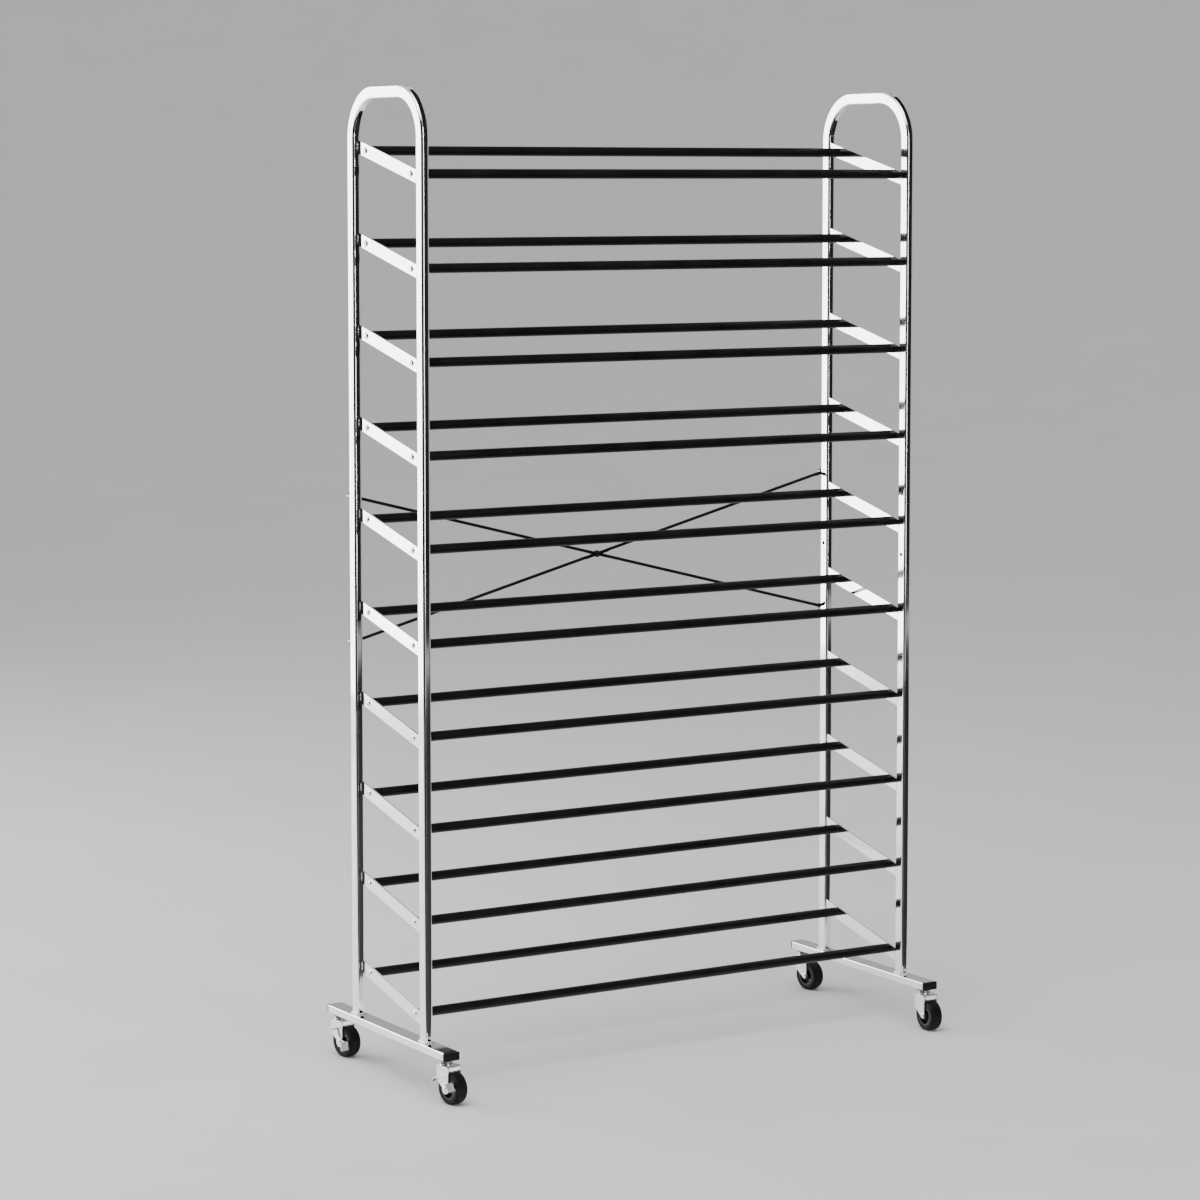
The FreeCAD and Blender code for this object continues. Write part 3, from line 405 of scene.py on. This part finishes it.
for side_name, side in SIDES.items():
    arch(side_name)
    for end_name in ENDS:
        corner = f"{side_name}_{end_name}"
        leg_finish = SLOTS["chrome_tube"]
        straight_tube(f"{corner}_leg", f"{corner}_lower_post", "Z", TUBE_CORNER, leg_finish, 0, SEAM_CHAMFER)
    straight_tube(f"{side_name}_foot", f"{side_name}_base_tube", "Y", FOOT_CORNER, base_chrome, 0, 0)


# --- welds ---------------------------------------------------------------------------------------

OUTER_BEAD = {"reach": 0.0075, "radius": 0.0012}
INNER_BEAD = {"reach": 0.006, "radius": 0.0011}
BEAD_BITE = 0.0003
INNER_BEAD_DEPTH = 0.003
FOOT_BEAD_RADIUS = 0.0019
FOOT_BEAD_STANDOFF = 0.0006


def bracket_welds(side_name, side):
    """Short beads down both ends of each bracket, outside and inside, where it meets the posts."""
    post = f"{side_name}_front_lower_post"
    inner_face = abs(middle(post).y) - box_size(post).y / 2
    strip_low, strip_high = (Vector(corner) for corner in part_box(f"{side_name}_upper_brackets"))
    face = strip_low.x if side < 0 else strip_high.x
    bm = bmesh.new()
    for tier in (*UPPER_TIERS, *LOWER_TIERS):
        front, rear = (middle(f"tier_{tier:02d}_{end}_bar") for end in ENDS)
        slope = (rear.z - front.z) / (rear.y - front.y)
        for end in ENDS.values():
            height = (front.z + rear.z) / 2 + slope * end * inner_face
            for across, shape in ((face, OUTER_BEAD), (face - side * INNER_BEAD_DEPTH, INNER_BEAD)):
                place = Vector((across, end * (inner_face - BEAD_BITE), height))
                half = Z * shape["reach"]
                bead(bm, [place - half, place, place + half], shape["radius"])
    add_piece(f"{side_name}_bracket_welds", bm, plated_weld)


def foot_welds(side_name):
    """A bead round the foot of each post, where it stands on the base tube."""
    bm = bmesh.new()
    for end_name in ENDS:
        post = f"{side_name}_{end_name}_lower_post"
        centre, extent = middle(post), box_size(post)
        growth = 2 * FOOT_BEAD_STANDOFF
        ring = rounded_profile(extent.x + growth, extent.y + growth, TUBE_CORNER, 4)
        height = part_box(post)[0][2] + FOOT_BEAD_STANDOFF
        path = [Vector((centre.x + point.x, centre.y + point.y, height)) for point in ring]
        bead(bm, path + path[:1], FOOT_BEAD_RADIUS, closed=True)
    add_piece(f"{side_name}_foot_welds", bm, plated_weld)


for side_name, side in SIDES.items():
    bracket_welds(side_name, side)
    foot_welds(side_name)

# --- caster forks --------------------------------------------------------------------------------

# The ribs stand on the legs' outer faces, a set distance from the axle's middle, and run up from it.
LEG_FACE = 0.0144
RIB_REACH = (0.0075, 0.0325)
RIB_WIDTH = 0.0034
RIB_PROUD = 0.0009
RIB_FORWARD = 0.0019
THINNEST = 0.00005


def rib(bm, foot, top, outward, across, sides=12, end_steps=5):
    """A pressed rib: a half-round swelling with rounded ends, standing on a leg's outer face."""
    run = (top - foot).normalized()
    length, radius = (top - foot).length, RIB_WIDTH / 2
    turns = [math.radians(90) * step / end_steps for step in range(end_steps)]
    stations = [(radius * (1 - math.cos(turn)), math.sin(turn)) for turn in turns]
    stations += [(radius, 1.0), (length - radius, 1.0)]
    stations += [(length - radius * (1 - math.cos(turn)), math.sin(turn)) for turn in reversed(turns)]
    rings = []
    for walked, swell in stations:
        centre = foot + run * walked
        wide, proud = across * max(radius * swell, THINNEST), outward * max(RIB_PROUD * swell, THINNEST)
        angles = [math.pi * side / sides for side in range(sides + 1)]
        rings.append([bm.verts.new(centre + wide * math.cos(a) + proud * math.sin(a)) for a in angles])
    for near, far in zip(rings, rings[1:]):
        for index in range(sides):
            bm.faces.new((near[index], near[index + 1], far[index + 1], far[index]))
        bm.faces.new((near[0], far[0], far[-1], near[-1]))
    bm.faces.new(rings[0])
    bm.faces.new(rings[-1])


joints = {row["name"]: row for row in frame["record"]["behaviour"]["joints"]}
for side_name in SIDES:
    for end_name in ENDS:
        corner = f"{side_name}_{end_name}"
        spin = joints[f"{corner}_wheel_spin"]
        along, axle_centre = Vector(spin["axis"]).normalized(), Vector(spin["pos_m"])
        forward = along.cross(Z)
        bm = bmesh.new()
        # A braked caster's outer leg stays plain, because the lever sweeps across it.
        legs = (1,) if side_name == "left" else (-1, 1)
        for end in legs:
            face = axle_centre + along * end * LEG_FACE + forward * RIB_FORWARD
            rib(bm, face + Z * RIB_REACH[0], face + Z * RIB_REACH[1], along * end, forward)
        add_piece(f"{corner}_fork_ribs", bm, SLOTS["zinc_caster"], f"{corner}_swivel")

# --- softened edges on the carried-over parts ----------------------------------------------------

EDGE_RADII = {
    "brackets": 0.0004,
    "end_caps": 0.0007,
    "caster_fork": 0.0005,
    "brake_lever": 0.0004,
    "axle": 0.0003,
}
for name, node in nodes.items():
    for ending, radius in EDGE_RADII.items():
        if name.endswith(ending):
            edge = node.modifiers.new("soft_edge", "BEVEL")
            edge.width = radius
            edge.segments = 2
            edge.limit_method = "ANGLE"
            edge.angle_limit = SHARP
            edge.harden_normals = True

# --- camera, floor and light -------------------------------------------------------------------

CAMERA_TILT = 85.0
CAMERA_HEADING = 31.6769
camera_data = bpy.data.cameras.new("camera")
camera_data.sensor_width = 36.0
camera_data.lens = 106.788
camera_data.shift_y = -0.0923
camera_data.clip_end = 400
camera = bpy.data.objects.new("camera", camera_data)
camera.location = (-3.30095, -5.22669, 1.51864)
camera.rotation_euler = (math.radians(CAMERA_TILT), 0, math.radians(-CAMERA_HEADING))
bpy.context.scene.collection.objects.link(camera)
bpy.context.scene.camera = camera


def studio_bowl(flat_radius=7.0, cove=16.0, wall_top=17.0, sides=96, cove_steps=24):
    """A pale round floor that curves up into a wall, open above."""
    section = [(0.001, 0.0), (flat_radius * 0.5, 0.0), (flat_radius, 0.0)]
    for step in range(1, cove_steps + 1):
        turn = math.radians(90) * step / cove_steps
        section.append((flat_radius + cove * math.sin(turn), cove * (1 - math.cos(turn))))
    section.append((flat_radius + cove, wall_top))
    bm = bmesh.new()
    rings = []
    for radius, height in section:
        turns = [2 * math.pi * number / sides for number in range(sides)]
        rings.append([bm.verts.new((radius * math.cos(t), radius * math.sin(t), height)) for t in turns])
    for near, far in zip(rings, rings[1:]):
        for number in range(sides):
            after = (number + 1) % sides
            bm.faces.new((near[number], near[after], far[after], far[number]))
    bm.faces.new(rings[0])
    mesh = bpy.data.meshes.new("studio_bowl")
    bm.to_mesh(mesh)
    bm.free()
    mesh.shade_smooth()
    mesh.materials.append(studio_surface("studio_floor", 0.6))
    bowl = bpy.data.objects.new("studio_bowl", mesh)
    bpy.context.scene.collection.objects.link(bowl)


def panel(name, rows, material):
    """A sheet through rows of points, out of the camera's sight, for the plated steel to reflect."""
    bm = bmesh.new()
    verts = [[bm.verts.new(point) for point in row] for row in rows]
    for near, far in zip(verts, verts[1:]):
        bm.faces.new((near[0], near[1], far[1], far[0]))
    mesh = bpy.data.meshes.new(name)
    bm.to_mesh(mesh)
    bm.free()
    mesh.materials.append(material)
    sheet = bpy.data.objects.new(name, mesh)
    sheet.visible_camera = False
    sheet.visible_diffuse = False
    sheet.visible_shadow = False
    bpy.context.scene.collection.objects.link(sheet)


def curved_rows(axis, centre, radius, turns, span, steps=24):
    """Rows of points on part of a cylinder about an axis through centre, between two turns in degrees."""
    along = {"X": X, "Z": Z}[axis]
    first, second = {"X": (-Y, Z), "Z": (X, Y)}[axis]
    rows = []
    for step in range(steps + 1):
        turn = math.radians(turns[0] + (turns[1] - turns[0]) * step / steps)
        point = Vector(centre) + (first * math.cos(turn) + second * math.sin(turn)) * radius
        rows.append([point + along * end for end in span])
    return rows


def softbox(name, location, target, size, power):
    """A rectangular light out of the camera's sight."""
    data = bpy.data.lights.new(name, "AREA")
    data.shape = "RECTANGLE"
    data.size, data.size_y = size
    data.energy = power
    light = bpy.data.objects.new(name, data)
    light.location = location
    light.rotation_euler = (Vector(target) - Vector(location)).to_track_quat("-Z", "Y").to_euler()
    light.visible_camera = False
    bpy.context.scene.collection.objects.link(light)


# Dark cloths give the plated tubes their black edges; white cards brighten the low steel beside the floor.
dark_cloth = studio_surface("dark_cloth", 0.012)
white_card = studio_surface("white_card", 0.93)
studio_bowl()
MIDDLE = (0, 0, 0.9)
panel("right_canopy", curved_rows("X", (0, 0, 1.2), 4.6, (-14, 125), (1.0, 4.4)), dark_cloth)
panel("front_left_screen", curved_rows("Z", (0, 0, 0), 4.4, (162, 248), (0.02, 4.2)), dark_cloth)
panel("front_floor_cloth", [[(-4.0, y, 0.015), (4.2, y, 0.015)] for y in (-4.4, -0.42)], dark_cloth)
panel("left_floor_card", [[(-3.4, y, 0.002), (-0.53, y, 0.002)] for y in (-0.4, 3.0)], white_card)
panel("middle_floor_card", [[(-0.44, y, 0.002), (0.46, y, 0.002)] for y in (-0.3, 2.4)], white_card)
softbox("rear_left_softbox", (-2.9, 3.6, 1.3), MIDDLE, (3.0, 3.6), 250)
softbox("top_softbox", (-1.7, -0.9, 4.4), (0, 0, 0.6), (3.0, 3.2), 170)
softbox("front_strip", (0.4, -4.4, 1.75), MIDDLE, (0.35, 3.0), 50)

world = bpy.data.worlds.new("studio")
bpy.context.scene.world = world
world.use_nodes = True
world.node_tree.nodes["Background"].inputs["Color"].default_value = (0.98, 0.985, 1.0, 1)
world.node_tree.nodes["Background"].inputs["Strength"].default_value = 1.05
